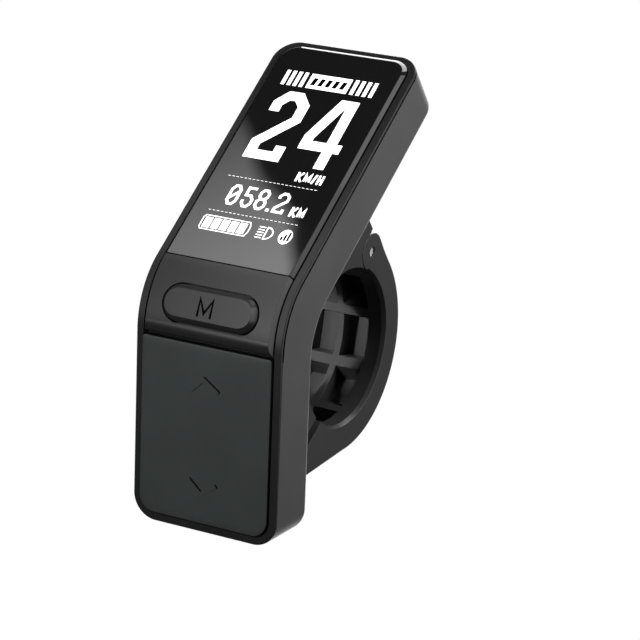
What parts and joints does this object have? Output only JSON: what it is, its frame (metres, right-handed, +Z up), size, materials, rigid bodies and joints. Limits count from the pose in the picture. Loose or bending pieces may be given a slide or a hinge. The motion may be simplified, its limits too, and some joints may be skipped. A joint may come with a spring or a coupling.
{
  "type": "handlebar display",
  "caption": "Bent handlebar display for an electric bike with a screen, a mode button, a rocker key and a hinged clamp ring.",
  "frame": {"origin": "centre of the clamp's bore, midway between its side faces", "axes": "+X along the handlebar to the rider's right; +Y to the rear, away from the front of the housing; +Z up"},
  "size_m": [0.032, 0.0597, 0.0867],
  "materials": {
    "shell_grey": "matt",
    "bezel_black": "satin",
    "gloss_black": "gloss",
    "key_grey": "matt",
    "mode_gloss": "gloss",
    "clamp_nylon": "matt",
    "seal_rubber": "matt",
    "tape": "matt",
    "display_glass": "gloss",
    "light_guide": "gloss",
    "frame_white": "matt",
    "board_green": "satin",
    "flex_amber": "satin",
    "chip_black": "matt",
    "shield_steel": "satin",
    "screw_steel": "satin",
    "pin_steel": "satin",
    "brass": "satin",
    "plunger_tan": "matt",
    "connector_cream": "matt"
  },
  "bodies": {
    "housing": {"rear_shell": "shell_grey", "front_bezel": "bezel_black", "case_seal": "seal_rubber", "display_lens": "gloss_black", "lens_tape": "tape", "display_panel": "display_glass", "backlight": "light_guide", "display_carrier": "frame_white", "display_flex": "flex_amber", "main_board": "board_green", "processor": "chip_black", "wireless_module": "shield_steel", "power_parts": "chip_black", "main_board_screws": "screw_steel", "link_flex": "flex_amber", "flex_sockets": "connector_cream", "mode_panel": "mode_gloss", "mode_switch": "chip_black", "mode_board": "board_green", "mode_board_screws": "screw_steel", "rocker_pin": "pin_steel", "switch_board": "board_green", "key_switches": "chip_black", "switch_board_screws": "screw_steel", "switch_gasket": "seal_rubber", "harness_socket": "connector_cream", "cable_grommet": "seal_rubber", "case_screws": "screw_steel", "clamp_base": "clamp_nylon", "clamp_base_screws": "screw_steel", "hinge_pin": "pin_steel", "screw_insert": "brass"},
    "mode_button": {"mode_button": "mode_gloss", "mode_plunger": "plunger_tan"},
    "rocker": {"rocker_key": "key_grey"},
    "up_plunger": {"up_plunger": "plunger_tan"},
    "down_plunger": {"down_plunger": "plunger_tan"},
    "strap": {"clamp_strap": "clamp_nylon"},
    "clamp_screw": {"clamp_screw": "screw_steel"}
  },
  "joints": [
    {"name": "mode_press", "type": "slide", "parent": "housing", "child": "mode_button", "axis": [0, 0.9272, -0.3746], "range_m": [0, 0.0003], "stiffness_N_per_m": 3000, "springref_m": -0.0003},
    {"name": "rocker_tilt", "type": "hinge", "parent": "housing", "child": "rocker", "pos_m": [0, -0.0327, -0.01057], "axis": [1, 0, 0], "range_deg": [-1.3, 1.3], "stiffness_Nm_per_rad": 0.5},
    {"name": "up_press", "type": "slide", "parent": "housing", "child": "up_plunger", "axis": [0, 1, 0], "range_m": [-0.0003, 0.0003]},
    {"name": "down_press", "type": "slide", "parent": "housing", "child": "down_plunger", "axis": [0, 1, 0], "range_m": [-0.0003, 0.0003]},
    {"name": "strap_swing", "type": "hinge", "parent": "housing", "child": "strap", "pos_m": [0, 0.00905, 0.01745], "axis": [1, 0, 0], "range_deg": [0, 50]},
    {"name": "clamp_screw_travel", "type": "slide", "parent": "strap", "child": "clamp_screw", "axis": [0, 0.7547, -0.6561], "range_m": [0, 0.009]}
  ],
  "couplings": [
    {"joint": "up_press", "follows": "rocker_tilt", "m_per_rad": -0.0115},
    {"joint": "down_press", "follows": "rocker_tilt", "m_per_rad": 0.0115},
    {"joint": "clamp_screw_travel", "follows": "strap_swing", "m_per_rad": 0.01}
  ]
}
